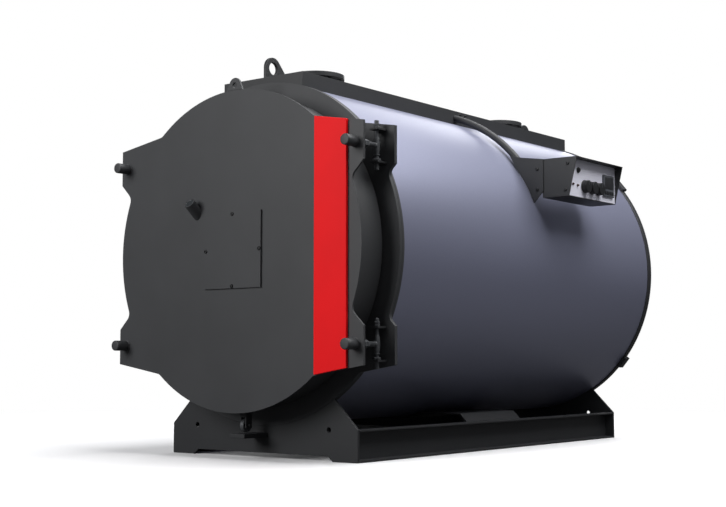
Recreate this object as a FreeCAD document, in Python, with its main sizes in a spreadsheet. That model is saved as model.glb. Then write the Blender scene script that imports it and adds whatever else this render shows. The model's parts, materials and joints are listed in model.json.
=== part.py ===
import FreeCAD, Part
import Sketcher
import math
import os
import re

# Horizontal hot-water boiler on a steel skid.
# Millimetres, +Z up, +Y from the door towards the flue, +X towards the control box.
# The origin is on the floor, under the skid's middle plate, on the boiler's centre line.

DIMENSIONS = {
    # barrel
    "barrel_radius": 683,        # outside of the jacket
    "barrel_clearance": 133,     # floor to the underside of the jacket
    "jacket_wall": 60,           # jacket sheet and the insulation under it
    "half_length": 1040,         # middle plate to the outer face of either end plate
    "band_lip": 5,               # how far the end bands stand out from the jacket
    "front_band_width": 15,
    "rear_band_width": 35,
    # front flange and door plate, both with four ears
    "flange_wall": 16,
    "knob_offset": 28,           # bolt circle's radius beyond the jacket
    "knob_angle": 31.4,          # bolt's angle above or below the centre line, degrees
    "ear_side": 38,              # bolt to the outer edge of the door's ear
    "flange_ear_side": 57,       # the same on the front flange
    "ear_top": 77,               # bolt to the ear's far corner
    "ear_bottom": 67,            # bolt to the ear's near corner
    "ear_pitch": 0.17,           # slope of the ear's long edge
    "ear_fillet": 34,
    # door
    "door_step": 47,             # jacket radius less the door plate's radius
    "door_wall": 10,
    "drum_step": 22,             # door plate's radius less the drum's
    "drum_wall": 6,
    "drum_depth": 145,
    "seal_gap": 10,              # drum to the front flange
    "lining_setback": 4,
    "lining_gap": 0.5,
    "throat_radius": 110,        # burner's hole through door and lining
    # furnace
    "furnace_radius": 250,
    "furnace_wall": 8,
    "furnace_depth": 1840,
    "furnace_end_wall": 12,
    # hinges and clamps
    "rod_radius": 8.5,
    "rod_standoff": 35,          # hinge rod's centre in front of the flange
    "rod_below": 92,
    "rod_above": 96,
    "rod_fit": 0.08,             # radial clearance of an eye on its rod
    "tab_width": 40,
    "tab_depth": 55,
    "tab_wall": 8,
    "tab_spread": 62,            # bolt to the middle of a tab
    "eye_radius": 12,
    "eye_length": 64,
    "eye_gap": 1,                # eye to the nut it rests over
    "bolt_radius": 10,
    "bolt_gap": 2,               # radial clearance in the ear, and behind the knob
    "nut_corner_radius": 15,
    "nut_height": 13,
    "knob_radius": 20,
    "knob_length": 65,
    "knob_round": 7,
    # door furniture
    "burner_plate_width": 300,
    "burner_plate_wall": 8,
    "burner_screw_circle": 284,
    "burner_screw_radius": 4,
    "strip_left": 420,
    "strip_right": 573,
    "strip_wall": 12,
    "strip_end_setback": 2,
    "sight_across": 201,         # sight tube to the centre line
    "sight_up": 159,             # sight tube above the centre line
    "sight_tilt": 40,            # degrees above level
    "sight_radius": 23,
    "sight_wall": 4,
    "sight_length": 58,
    "sight_glass_depth": 8,
    "door_lug_foot": 54,
    "door_lug_head": 30,
    "door_lug_hole": 11,
    "door_lug_height": 19,       # hole above the door plate's rim
    # roller that takes the door's weight
    "roller_radius": 26.5,
    "roller_width": 18,
    "roller_drop": 71,           # drum's underside to the roller's centre
    "roller_setback": 70,        # door plate's back to the roller's centre
    "roller_axle_radius": 5,
    "roller_side_gap": 1,
    "fork_wall": 6,
    "fork_width": 34,
    "shelf_gap": 5,
    "shelf_width": 78,
    "shelf_depth": 137,
    "shelf_wall": 17,
    # skid
    "skid_half_width": 490,
    "skid_height": 124,
    "skid_plate_wall": 12,
    "beam_flange": 50,
    "beam_wall": 8,
    "cross_member_height": 80,
    "saddle_wall": 8,
    "saddle_length": 436,        # along the beams that carry it
    "saddle_rise": 34,           # its flat top above the beams
    "saddle_skirt": 40,          # its turned-down sides, against the beams
    "notch_half_width": 368,
    "notch_height": 20,
    "notch_slope": 24,
    "skid_hole_across": 350,
    "skid_hole_height": 120,
    "skid_hole_radius": 10,
    # top rail and what stands on it
    "rail_half_width": 212.6,
    "rail_rise": 29.5,           # rail's top above the jacket's crest
    "rail_overhang": 33,         # rail's rear end beyond the rear end plate
    "rail_hole_gap": 2,
    "nozzle_height": 93,         # flange's top above the jacket's crest
    "nozzle_flange_radius": 120,
    "nozzle_flange_wall": 20,
    "nozzle_neck_radius": 70,
    "nozzle_bore_radius": 65,
    "nozzle_bolt_circle": 200,
    "nozzle_bolt_radius": 9,
    "nozzle_bolt_count": 8,
    "flow_setback": 341,         # front end plate to the flow nozzle
    "return_setback": 280,       # rear end plate to the return nozzle
    "lug_wall": 14,
    "lug_head": 46,
    "lug_hole": 25,
    "lug_rise": 46.5,            # hole above the rail
    "lug_foot": 106,             # hole to the far foot
    "lug_setback": 59,           # end plate to the hole
    # control box and its arm
    "arm_offset": 27,            # tube's centre outside the jacket
    "arm_radius": 15,
    "arm_place": 45,             # arm's plane behind the middle plate
    "arm_drop": 15,              # box's top to the middle of the arm's low end
    "bracket_wall": 5,
    "bracket_gap": 3,
    "bracket_tail": 163,         # box's inner side to the bracket's far corner
    "bracket_tail_rise": 30,     # that corner above the box's top
    "bracket_shoulder": 97,
    "bracket_shoulder_rise": 15,
    "bracket_overlap": 6,        # bracket's straight edge past the box's inner side
    "bracket_lift": 28,          # foot of that edge above the box's underside
    "bracket_toe": 42,
    "bracket_toe_drop": 22,
    "box_inset": 5,             # box's inner side inside the jacket's widest line
    "box_depth": 130,
    "box_up": 274,               # box's underside above the centre line
    "box_height": 170,
    "box_length": 430,
    "hood_reach": 40,
    "sheet_wall": 3,
    "dial_radius": 29,
    "dial_height": 24,
    "dial_pitch": 62,
    "dial_first": 137,           # box's near end to the first dial
    "dial_up": 53,
    "dial_gap": 1,
    "controller_width": 96,
    "controller_proud": 9,
    "controller_far": 76,        # box's far end to the controller's centre
    "controller_up": 76,
    "gland_radius": 10,
    "gland_length": 24,
    "gland_up": 78,
    # rear end
    "rear_wall": 16,
    "smokebox_radius": 480,
    "smokebox_depth": 110,
    "flue_radius": 150,
    "flue_wall": 4,
    "flue_length": 100,
    "clip_angle": 39.5,
    "clip_height": 60,
    "clip_wall": 14,
    "clip_width": 40,
}

# Places worked out from the sheet.
AXIS = "(barrel_radius + barrel_clearance)"
CREST = f"({AXIS} + barrel_radius)"
RAIL_TOP = f"({CREST} + rail_rise)"
FLANGE_RADIUS = "(barrel_radius + band_lip)"
DOOR_RADIUS = "(barrel_radius - door_step)"
DRUM_RADIUS = f"({DOOR_RADIUS} - drum_step)"
INNER_RADIUS = "(barrel_radius - jacket_wall)"
KNOB_X = "((barrel_radius + knob_offset) * cos(knob_angle))"
KNOB_Z = "((barrel_radius + knob_offset) * sin(knob_angle))"
FRONT = "(-half_length)"
DOOR_BACK = f"({FRONT} - seal_gap - drum_depth)"
DOOR_FRONT = f"({DOOR_BACK} - door_wall)"
BARREL_START = f"({FRONT} + flange_wall + front_band_width)"
REAR = "(half_length + rear_band_width)"
ROD_Y = f"({FRONT} - rod_standoff)"
ROLLER_Y = f"({DOOR_BACK} + roller_setback)"
ROLLER_Z = f"({AXIS} - {DRUM_RADIUS} - roller_drop)"
SHELF_TOP = f"({ROLLER_Z} - roller_radius - shelf_gap)"
BOX_INNER = "(barrel_radius - box_inset)"
PANEL_X = f"({BOX_INNER} + box_depth)"
BOX_NEAR = "(arm_place - arm_radius)"
BOX_FAR = f"({BOX_NEAR} + box_length)"
BOX_LOW = f"({AXIS} + box_up)"
ARM_LOW_ANGLE = "asin((box_up + box_height - arm_drop) / (barrel_radius + arm_offset))"
LEVELS = {"upper": 1, "lower": -1}

doc = FreeCAD.newDocument("Boiler")
sheet = doc.addObject("Spreadsheet::Sheet", "Dimensions")
for row, (alias, size) in enumerate(DIMENSIONS.items(), start=1):
    sheet.set(f"A{row}", alias)
    sheet.set(f"B{row}", str(size))
    sheet.setAlias(f"B{row}", alias)
doc.recompute()
subparts = []


def formula(text):
    """Point each dimension named in text at its cell."""
    def cell(match):
        word = match.group()
        return f"Dimensions.{word}" if word in DIMENSIONS else word
    return re.sub(r"[a-z_]+", cell, str(text))


def bind(thing, **properties):
    """Bind properties to formulas; a double underscore stands for a dot."""
    for name, text in properties.items():
        thing.setExpression(name.replace("__", "."), formula(text))
    return thing


def number(text):
    """The present value of a formula."""
    return float(sheet.evalExpression(formula(text)))


def place(thing, across=0, along=0, up=0):
    return bind(thing, Placement__Base__x=across, Placement__Base__y=along, Placement__Base__z=up)


def subpart(thing, label):
    """Give a piece the name that its file gets."""
    thing.Label = label
    subparts.append(thing)
    return thing


# ---- sketches and Part Design bodies

def new_body(label):
    return subpart(doc.addObject("PartDesign::Body", label), label)


def new_sketch(body, plane, offset=0):
    """A sketch on one of the body's own origin planes, moved along that plane's normal."""
    sketch = body.newObject("Sketcher::SketchObject", f"{body.Name}_sketch")
    origin_plane = next(item for item in body.Origin.OriginFeatures if item.Role == plane)
    sketch.AttachmentSupport = [(origin_plane, "")]
    sketch.MapMode = "FlatFace"
    return bind(sketch, AttachmentOffset__Base__z=offset)


def pin_down(sketch, geometry, vertex, across, up):
    """Hold one point of the sketch at two formulas."""
    for kind, text in (("DistanceX", across), ("DistanceY", up)):
        index = sketch.addConstraint(Sketcher.Constraint(kind, -1, 1, geometry, vertex, number(text)))
        sketch.setExpression(f"Constraints[{index}]", formula(text))


def draw_circle(sketch, radius, across=0, up=0):
    centre = FreeCAD.Vector(number(across), number(up), 0)
    circle = sketch.addGeometry(Part.Circle(centre, FreeCAD.Vector(0, 0, 1), number(radius)))
    pin_down(sketch, circle, 3, across, up)
    index = sketch.addConstraint(Sketcher.Constraint("Radius", circle, number(radius)))
    sketch.setExpression(f"Constraints[{index}]", formula(radius))


def draw_polygon(sketch, corners):
    """A closed outline through corners, each a pair of formulas."""
    spots = [FreeCAD.Vector(number(across), number(up), 0) for across, up in corners]
    lines = [sketch.addGeometry(Part.LineSegment(spot, spots[(index + 1) % len(spots)]))
             for index, spot in enumerate(spots)]
    for index, line in enumerate(lines):
        sketch.addConstraint(Sketcher.Constraint("Coincident", line, 2, lines[(index + 1) % len(lines)], 1))
    for line, (across, up) in zip(lines, corners):
        pin_down(sketch, line, 1, across, up)


def draw_lug(sketch, near_foot, far_foot, drop, head, hole):
    """A lifting eye: a round head about the sketch's origin, with edges that run tangent to two feet."""
    feet = [(f"-({near_foot})", f"-({drop})"), (far_foot, f"-({drop})")]
    spots = [FreeCAD.Vector(number(across), number(up), 0) for across, up in feet]
    touch_angles = []
    for spot, side in zip(spots, (-1, 1)):
        lean = math.acos(min(1, number(head) / spot.Length))
        touch_angles.append(math.atan2(spot.y, spot.x) + side * lean)
    touches = [FreeCAD.Vector(math.cos(angle), math.sin(angle), 0) * number(head) for angle in touch_angles]
    circle = Part.Circle(FreeCAD.Vector(), FreeCAD.Vector(0, 0, 1), number(head))
    start, end = touch_angles[1], touch_angles[0] % (2 * math.pi)
    base = sketch.addGeometry(Part.LineSegment(spots[0], spots[1]))
    far = sketch.addGeometry(Part.LineSegment(spots[1], touches[1]))
    arc = sketch.addGeometry(Part.ArcOfCircle(circle, start, end))
    near = sketch.addGeometry(Part.LineSegment(touches[0], spots[0]))
    sketch.addConstraint([
        Sketcher.Constraint("Coincident", base, 2, far, 1),
        Sketcher.Constraint("Coincident", near, 2, base, 1),
        Sketcher.Constraint("Tangent", far, 2, arc, 1),
        Sketcher.Constraint("Tangent", arc, 2, near, 1),
        Sketcher.Constraint("Coincident", arc, 3, -1, 1),
    ])
    for vertex, (across, up) in ((1, feet[0]), (2, feet[1])):
        pin_down(sketch, base, vertex, across, up)
    index = sketch.addConstraint(Sketcher.Constraint("Radius", arc, number(head)))
    sketch.setExpression(f"Constraints[{index}]", formula(head))
    draw_circle(sketch, hole)


def pad(body, sketch, length, backwards=True):
    """Thicken a sketch; backwards takes one on the XZ plane towards +Y."""
    feature = body.newObject("PartDesign::Pad", f"{body.Name}_pad")
    feature.Profile = sketch
    feature.Reversed = backwards
    return bind(feature, Length=length)


def pocket(body, sketch, depth, backwards=False):
    """Cut a sketch away, and check that it cut something."""
    doc.recompute()
    before = body.Shape.Volume
    feature = body.newObject("PartDesign::Pocket", f"{body.Name}_pocket")
    feature.Profile = sketch
    feature.Reversed = backwards
    bind(feature, Length=depth)
    doc.recompute()
    if body.Shape.Volume >= before:
        raise ValueError(f"{feature.Name} cuts nothing")
    return feature


def ring(label, outer, inner, length, along):
    """A round wall about the boiler's axis, from along towards +Y."""
    body = new_body(label)
    sketch = new_sketch(body, "XZ_Plane")
    draw_circle(sketch, outer)
    if inner is not None:
        draw_circle(sketch, inner)
    pad(body, sketch, length)
    return place(body, 0, along, AXIS)


def turned(label, corners):
    """A body turned about its own Z axis from a half section in its XZ plane."""
    body = new_body(label)
    sketch = new_sketch(body, "XZ_Plane")
    draw_polygon(sketch, corners)
    turn = body.newObject("PartDesign::Revolution", f"{body.Name}_turn")
    turn.Profile = sketch
    turn.ReferenceAxis = (sketch, ["V_Axis"])
    turn.Angle = 360
    return body


# ---- Part primitives

def box(name, corner, size):
    piece = doc.addObject("Part::Box", name)
    bind(piece, Length=size[0], Width=size[1], Height=size[2])
    return place(piece, *corner)


def rod(name, radius, length, start, direction=(0, 0, 1)):
    piece = doc.addObject("Part::Cylinder", name)
    bind(piece, Radius=radius, Height=length)
    turn_to(piece, direction)
    return place(piece, *start)


def turn_to(piece, direction):
    up = FreeCAD.Vector(0, 0, 1)
    piece.Placement.Rotation = FreeCAD.Rotation(up, FreeCAD.Vector(*direction))


def nut(name, centre_line, bottom):
    """A hexagon nut about an upright rod."""
    piece = doc.addObject("Part::Prism", name)
    piece.Polygon = 6
    bind(piece, Circumradius="nut_corner_radius", Height="nut_height")
    return place(piece, *centre_line, bottom)


def fuse(name, pieces):
    joined = doc.addObject("Part::MultiFuse", name)
    joined.Shapes = pieces
    return joined


def cut(name, piece, tool):
    result = doc.addObject("Part::Cut", name)
    result.Base = piece
    result.Tool = tool
    return result


def group(label, pieces):
    """Like pieces that share a file."""
    together = doc.addObject("Part::Compound", label)
    together.Links = pieces
    return subpart(together, label)


# ---- front flange and door

def eared_plate(label, radius, thickness, ear_side):
    """A round plate with four ears that reach the door's bolts."""
    body = new_body(label)
    disc = new_sketch(body, "XZ_Plane")
    draw_circle(disc, radius)
    pad(body, disc, thickness)
    side = f"({KNOB_X} + {ear_side})"
    high = f"({KNOB_Z} + ear_top)"
    low = f"({KNOB_Z} - ear_bottom)"
    peak = f"({high} + ear_pitch * {side})"
    waist = f"({side} - {low})"
    ears = new_sketch(body, "XZ_Plane")
    draw_polygon(ears, [
        (side, low), (side, high), (0, peak), (f"-{side}", high), (f"-{side}", low), (f"-{waist}", 0),
        (f"-{side}", f"-{low}"), (f"-{side}", f"-{high}"), (0, f"-{peak}"), (side, f"-{high}"),
        (side, f"-{low}"), (waist, 0),
    ])
    pad(body, ears, thickness)
    doc.recompute()
    sharp = body.Tip
    fillet = body.newObject("PartDesign::Fillet", f"{label}_fillet")
    fillet.Base = (sharp, ear_roots(sharp.Shape, number(radius)))
    bind(fillet, Radius="ear_fillet")
    return body


def ear_roots(shape, radius):
    """The edges where the ears leave the round, four above the centre line and four below."""
    names = []
    for index, edge in enumerate(shape.Edges, start=1):
        ends = [vertex.Point for vertex in edge.Vertexes]
        if len(ends) != 2 or abs(ends[0].x - ends[1].x) > 1e-6 or abs(ends[0].z - ends[1].z) > 1e-6:
            continue
        on_the_round = abs(math.hypot(ends[0].x, ends[0].z) - radius) < 1e-4
        if on_the_round and min(abs(ends[0].x), abs(ends[0].z)) > 1:
            names.append(f"Edge{index}")
    return names


def front_flange():
    body = eared_plate("front_flange", FLANGE_RADIUS, "flange_wall", "flange_ear_side")
    mouth = new_sketch(body, "XZ_Plane")
    draw_circle(mouth, "furnace_radius")
    pocket(body, mouth, "flange_wall")
    place(body, 0, FRONT, AXIS)


def door_plate():
    body = eared_plate("door_plate", DOOR_RADIUS, "door_wall", "ear_side")
    holes = new_sketch(body, "XZ_Plane")
    draw_circle(holes, "throat_radius")
    for across in (KNOB_X, f"-{KNOB_X}"):
        for up in (KNOB_Z, f"-{KNOB_Z}"):
            draw_circle(holes, "(bolt_radius + bolt_gap)", across, up)
    for across, up in ((1, 0), (-1, 0), (0, 1), (0, -1)):
        draw_circle(holes, "burner_screw_radius", f"{across} * burner_screw_circle / 2",
                    f"{up} * burner_screw_circle / 2")
    pocket(body, holes, "door_wall")
    place(body, 0, DOOR_FRONT, AXIS)


def burner_plate():
    body = new_body("burner_plate")
    sketch = new_sketch(body, "XZ_Plane")
    half = "burner_plate_width / 2"
    draw_polygon(sketch, [(half, half), (f"-{half}", half), (f"-{half}", f"-{half}"), (half, f"-{half}")])
    for across, up in ((1, 0), (-1, 0), (0, 1), (0, -1)):
        draw_circle(sketch, "burner_screw_radius", f"{across} * burner_screw_circle / 2",
                    f"{up} * burner_screw_circle / 2")
    pad(body, sketch, "burner_plate_wall")
    place(body, 0, f"{DOOR_FRONT} - burner_plate_wall", AXIS)


def accent_strip():
    """The upright coloured band, with its ends parallel to the ears' long edges."""
    body = new_body("accent_strip")
    sketch = new_sketch(body, "XZ_Plane")
    side = f"({KNOB_X} + ear_side)"
    corners = []
    for sign, edges in ((1, ("strip_left", "strip_right")), (-1, ("strip_right", "strip_left"))):
        for across in edges:
            rise = f"({KNOB_Z} + ear_top + ear_pitch * ({side} - {across}) - strip_end_setback)"
            corners.append((across, f"{sign} * {rise}"))
    draw_polygon(sketch, corners)
    pad(body, sketch, "strip_wall")
    place(body, 0, f"{DOOR_FRONT} - strip_wall", AXIS)


def door_drum():
    ring("door_drum", DRUM_RADIUS, f"({DRUM_RADIUS} - drum_wall)", "drum_depth", DOOR_BACK)


def door_lining():
    ring("door_lining", f"({DRUM_RADIUS} - drum_wall - lining_gap)", "throat_radius",
         "drum_depth - lining_setback", DOOR_BACK)


def sight_tube():
    """A short tube on the door that leans back to eye level, with its glass near the outer end."""
    slope = math.radians(number("sight_tilt"))
    outward = (0, -math.cos(slope), math.sin(slope))
    across, foot = "-sight_across", f"({AXIS} + sight_up)"

    def along_tube(distance):
        return (across, f"{DOOR_FRONT} - ({distance}) * cos(sight_tilt)",
                f"{foot} + ({distance}) * sin(sight_tilt)")

    full = "(sight_length + 2 * sight_radius)"
    wall = rod("sight_wall_block", "sight_radius", full, along_tube("-2 * sight_radius"), outward)
    bore = rod("sight_bore", "sight_radius - sight_wall", f"2 * {full}", along_tube(f"-{full}"), outward)
    behind = box("sight_trim", ("-sight_across - 2 * sight_radius", DOOR_FRONT, f"{foot} - {full}"),
                 ("4 * sight_radius", full, f"2 * {full}"))
    subpart(cut("sight_cut", wall, fuse("sight_tools", [bore, behind])), "sight_tube")
    glass = rod("glass", "sight_radius - sight_wall", "sight_wall",
                along_tube("sight_length - sight_glass_depth"), outward)
    subpart(glass, "sight_glass")


def door_lug():
    body = new_body("door_lug")
    sketch = new_sketch(body, "XZ_Plane")
    draw_lug(sketch, "door_lug_foot", "door_lug_foot", "door_lug_height + door_lug_head",
             "door_lug_head", "door_lug_hole")
    pad(body, sketch, "door_wall")
    rim = new_sketch(body, "XZ_Plane")
    draw_circle(rim, DOOR_RADIUS, 0, f"-({DOOR_RADIUS} + door_lug_height)")
    pocket(body, rim, "door_wall")
    place(body, 0, DOOR_FRONT, f"{AXIS} + {DOOR_RADIUS} + door_lug_height")


def door_knobs():
    """Cap nuts with a domed end, each on a washer."""
    pieces = []
    for side, across in (("left", f"-{KNOB_X}"), ("right", KNOB_X)):
        for level, sign in LEVELS.items():
            name = f"{level}_{side}_knob"
            start = (across, DOOR_FRONT, f"{AXIS} + {sign} * {KNOB_Z}")
            grip = rod(f"{name}_grip", "knob_radius", "knob_length", start, (0, -1, 0))
            dome = doc.addObject("Part::Fillet", f"{name}_dome")
            dome.Base = grip
            doc.recompute()
            size = number("knob_round")
            dome.Edges = [(far_rim(grip.Shape), size, size)]
            washer = rod(f"{name}_washer", "knob_radius + knob_round / 2", "knob_round / 2", start, (0, -1, 0))
            pieces.append(fuse(name, [dome, washer]))
    group("door_knobs", pieces)


def far_rim(shape):
    """Number of the round edge that is furthest towards -Y."""
    rims = [(edge.CenterOfMass.y, index) for index, edge in enumerate(shape.Edges, start=1)
            if isinstance(edge.Curve, Part.Circle)]
    return min(rims)[1]


# ---- hinges on the right, clamps on the left

def hinge_side(label, across, rod_name, tab_name, bolt_name):
    tabs, rods, bolts = [], [], []
    for level, sign in LEVELS.items():
        name = f"{level}_{label}"
        height = f"({AXIS} + {sign} * {KNOB_Z})"
        centre_line = (across, ROD_Y)
        shaft = rod(f"{name}_shaft", "rod_radius", "rod_below + rod_above",
                    (*centre_line, f"{height} - rod_below"))
        top_nut = nut(f"{name}_top_nut", centre_line, f"{height} + tab_spread + tab_wall / 2")
        rest_nut = nut(f"{name}_rest_nut", centre_line, f"{height} - eye_length / 2 - eye_gap - nut_height")
        rods.append(fuse(f"{name}_rod", [shaft, top_nut, rest_nut]))
        for end, shift in (("top", 1), ("bottom", -1)):
            corner = (f"{across} - tab_width / 2", f"{FRONT} - tab_depth",
                      f"{height} + {shift} * tab_spread - tab_wall / 2")
            tab = box(f"{name}_{end}_tab", corner, ("tab_width", "tab_depth", "tab_wall"))
            hole = rod(f"{name}_{end}_hole", "rod_radius", "3 * tab_wall",
                       (*centre_line, f"{height} + {shift} * tab_spread - 1.5 * tab_wall"))
            tabs.append(cut(f"{name}_{end}_lug", tab, hole))
        bolts.append(eye_bolt(name, centre_line, height))
    group(tab_name, tabs)
    group(rod_name, rods)
    group(bolt_name, bolts)


def eye_bolt(name, centre_line, height):
    """An eye that turns on the rod, with a threaded shank that runs into the door's ear."""
    eye = rod(f"{name}_eye", "eye_radius", "eye_length", (*centre_line, f"{height} - eye_length / 2"))
    shank = rod(f"{name}_shank", "bolt_radius",
                f"({ROD_Y} - {DOOR_FRONT} - bolt_gap)", (*centre_line, height), (0, -1, 0))
    bore = rod(f"{name}_bore", "rod_radius + rod_fit", "2 * eye_length",
               (*centre_line, f"{height} - eye_length"))
    return cut(f"{name}_bolt", fuse(f"{name}_forging", [eye, shank]), bore)


# ---- barrel, furnace and rear end

def barrel():
    ring("front_band", FLANGE_RADIUS, INNER_RADIUS, "front_band_width", f"{FRONT} + flange_wall")
    ring("jacket", "barrel_radius", INNER_RADIUS, f"half_length - {BARREL_START}", BARREL_START)
    ring("rear_band", FLANGE_RADIUS, INNER_RADIUS, "rear_band_width", "half_length")
    ring("rear_plate", INNER_RADIUS, None, "rear_wall", f"{REAR} - rear_wall")
    ring("furnace_tube", "(furnace_radius + furnace_wall)", "furnace_radius",
         "furnace_depth - flange_wall", f"{FRONT} + flange_wall")
    ring("furnace_end", "(furnace_radius + furnace_wall)", None, "furnace_end_wall",
         f"{FRONT} + furnace_depth")
    ring("smokebox", "smokebox_radius", "(flue_radius - flue_wall)", "smokebox_depth", REAR)
    ring("flue_spigot", "flue_radius", "(flue_radius - flue_wall)", "flue_length",
         f"{REAR} + smokebox_depth")


def rear_clips():
    """Small blocks that close the rear band at four places."""
    clips = []
    for name, side, sign in (("upper_right", 1, 1), ("lower_right", 1, -1),
                             ("upper_left", -1, 1), ("lower_left", -1, -1)):
        block = box(f"{name}_block",
                    ("-clip_height / 2", "half_length", f"{INNER_RADIUS}"),
                    ("clip_height", "clip_width", f"{FLANGE_RADIUS} - {INNER_RADIUS} + clip_wall"))
        tool = rod(f"{name}_tool", FLANGE_RADIUS, "3 * clip_width", (0, "half_length - clip_width", 0), (0, 1, 0))
        clip = cut(f"{name}_clip", block, tool)
        angle = 90 - sign * number("clip_angle")
        clip.Placement.Rotation = FreeCAD.Rotation(FreeCAD.Vector(0, side, 0), angle)
        clips.append(place(clip, 0, 0, AXIS))
    group("rear_clips", clips)


# ---- skid

def end_plate(label, along, round_radius):
    """An upright plate with sloping shoulders, a low arch and two holes, cut to the barrel's round."""
    body = new_body(label)
    sketch = new_sketch(body, "XZ_Plane")
    reach = f"(({AXIS} - skid_height) / 2)"
    right = [("notch_half_width - notch_slope", "notch_height"), ("notch_half_width", 0),
             ("skid_half_width", 0), ("skid_half_width", "skid_height"),
             (f"skid_half_width - {reach}", f"skid_height + {reach}")]
    left = [(f"-({across})", up) for across, up in reversed(right)]
    draw_polygon(sketch, right + left)
    for sign in (1, -1):
        draw_circle(sketch, "skid_hole_radius", f"{sign} * skid_hole_across", "skid_hole_height")
    pad(body, sketch, "skid_plate_wall")
    cradle = new_sketch(body, "XZ_Plane")
    draw_circle(cradle, round_radius, 0, AXIS)
    pocket(body, cradle, "skid_plate_wall")
    place(body, 0, along, 0)


def prism(name, corners, length):
    """A closed outline across the boiler, drawn out along it to both sides of the middle."""
    body = doc.addObject("PartDesign::Body", name)
    sketch = new_sketch(body, "XZ_Plane")
    draw_polygon(sketch, corners)
    pad(body, sketch, length)
    place(body, 0, f"-{length} / 2", 0)
    return body


def both_sides(corners):
    """Corners on the right, given from the lowest up, and the same ones on the left."""
    return corners + [(f"-({across})", up) for across, up in reversed(corners)]


def saddle():
    """A bent plate across the beams, with its middle rolled to the barrel's underside."""
    inner = "(skid_half_width - beam_flange)"
    fold = "(saddle_wall * tan(22.5))"
    top = "(skid_height + saddle_rise)"
    blank = prism("saddle_blank", both_sides([
        (inner, "skid_height - saddle_skirt"), (inner, "skid_height"), (f"{inner} - saddle_rise", top),
    ]), "saddle_length")
    hollow = prism("saddle_hollow", both_sides([
        (f"{inner} - saddle_wall", "skid_height - 2 * saddle_skirt"),
        (f"{inner} - saddle_wall", f"skid_height - {fold}"),
        (f"{inner} - saddle_rise - {fold}", f"{top} - saddle_wall"),
    ]), "(2 * saddle_length)")
    rolled = rod("saddle_rolled", "barrel_radius + saddle_wall", "4 * saddle_length",
                 (0, "-2 * saddle_length", AXIS), (0, 1, 0))
    tool = rod("saddle_tool", "barrel_radius", "2 * saddle_length", (0, "-saddle_length", AXIS), (0, 1, 0))
    sheet = cut("saddle_sheet", blank, cut("saddle_underside", hollow, rolled))
    subpart(cut("saddle_cut", sheet, tool), "saddle")


def skid():
    end_plate("skid_front_plate", FRONT, FLANGE_RADIUS)
    end_plate("skid_rear_plate", "half_length - skid_plate_wall", "barrel_radius")
    inner = "(skid_half_width - beam_flange)"
    plate = box("middle_plate", (f"-{inner}", "-skid_plate_wall / 2", 0),
                (f"2 * {inner}", "skid_plate_wall", "cross_member_height"))
    subpart(plate, "skid_middle_plate")
    for side, sign in (("left", -1), ("right", 1)):
        body = new_body(f"skid_beam_{side}")
        sketch = new_sketch(body, "XZ_Plane")
        outer, web, wall = "skid_half_width", inner, "beam_wall"
        corners = [(web, 0), (outer, 0), (outer, wall), (f"{web} + {wall}", wall),
                   (f"{web} + {wall}", f"skid_height - {wall}"), (outer, f"skid_height - {wall}"),
                   (outer, "skid_height"), (web, "skid_height")]
        draw_polygon(sketch, [(f"{sign} * ({across})", up) for across, up in corners])
        pad(body, sketch, "2 * (half_length - skid_plate_wall)")
        place(body, 0, f"{FRONT} + skid_plate_wall", 0)
    saddle()


# ---- top rail, nozzles and lifting lugs

def top_rail():
    """Cover along the crest, cut to the barrel and its end bands, with a hole for each nozzle."""
    length = "(2 * half_length + rail_overhang)"
    block = box("rail_block", ("-rail_half_width", FRONT, AXIS),
                ("2 * rail_half_width", length, f"{RAIL_TOP} - {AXIS}"))
    tools = [
        rod("rail_barrel", "barrel_radius", length, (0, FRONT, AXIS), (0, 1, 0)),
        rod("rail_front_band", FLANGE_RADIUS, "flange_wall + front_band_width", (0, FRONT, AXIS), (0, 1, 0)),
        rod("rail_rear_band", FLANGE_RADIUS, "rear_band_width", (0, "half_length", AXIS), (0, 1, 0)),
    ]
    for name, along in NOZZLES.items():
        tools.append(rod(f"rail_{name}_hole", "nozzle_neck_radius + rail_hole_gap", "2 * rail_rise + band_lip",
                         (0, along, f"{CREST} - rail_rise")))
    subpart(cut("rail_cut", block, fuse("rail_tools", tools)), "top_rail")


NOZZLES = {
    "flow_nozzle": f"({FRONT} + flow_setback)",
    "return_nozzle": "(half_length - return_setback)",
}


def nozzle(label, along):
    bottom, top = "0", "nozzle_height"
    under = "(nozzle_height - nozzle_flange_wall)"
    body = turned(label, [
        ("nozzle_bore_radius", bottom), ("nozzle_neck_radius", bottom), ("nozzle_neck_radius", under),
        ("nozzle_flange_radius", under), ("nozzle_flange_radius", top), ("nozzle_bore_radius", top),
    ])
    drill = new_sketch(body, "XY_Plane", under)
    draw_circle(drill, "nozzle_bolt_radius", "nozzle_bolt_circle / 2 * cos(180 / nozzle_bolt_count)",
                "nozzle_bolt_circle / 2 * sin(180 / nozzle_bolt_count)")
    hole = pocket(body, drill, "nozzle_flange_wall", backwards=True)
    pattern = body.newObject("PartDesign::PolarPattern", f"{label}_bolts")
    pattern.Originals = [hole]
    pattern.Axis = (drill, ["N_Axis"])
    pattern.Angle = 360
    bind(pattern, Occurrences="nozzle_bolt_count")
    body.Tip = pattern
    place(body, 0, along, CREST)


def lifting_lug(label, along, facing):
    """An eye plate on the rail, with its upright edge towards the boiler's end."""
    body = new_body(label)
    sketch = new_sketch(body, "YZ_Plane", "-lug_wall / 2")
    draw_lug(sketch, "lug_head", "lug_foot", "lug_rise", "lug_head", "lug_hole")
    pad(body, sketch, "lug_wall", backwards=False)
    if facing < 0:
        body.Placement.Rotation = FreeCAD.Rotation(FreeCAD.Vector(0, 0, 1), 180)
    place(body, 0, along, f"{RAIL_TOP} + lug_rise")


# ---- control box

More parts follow.
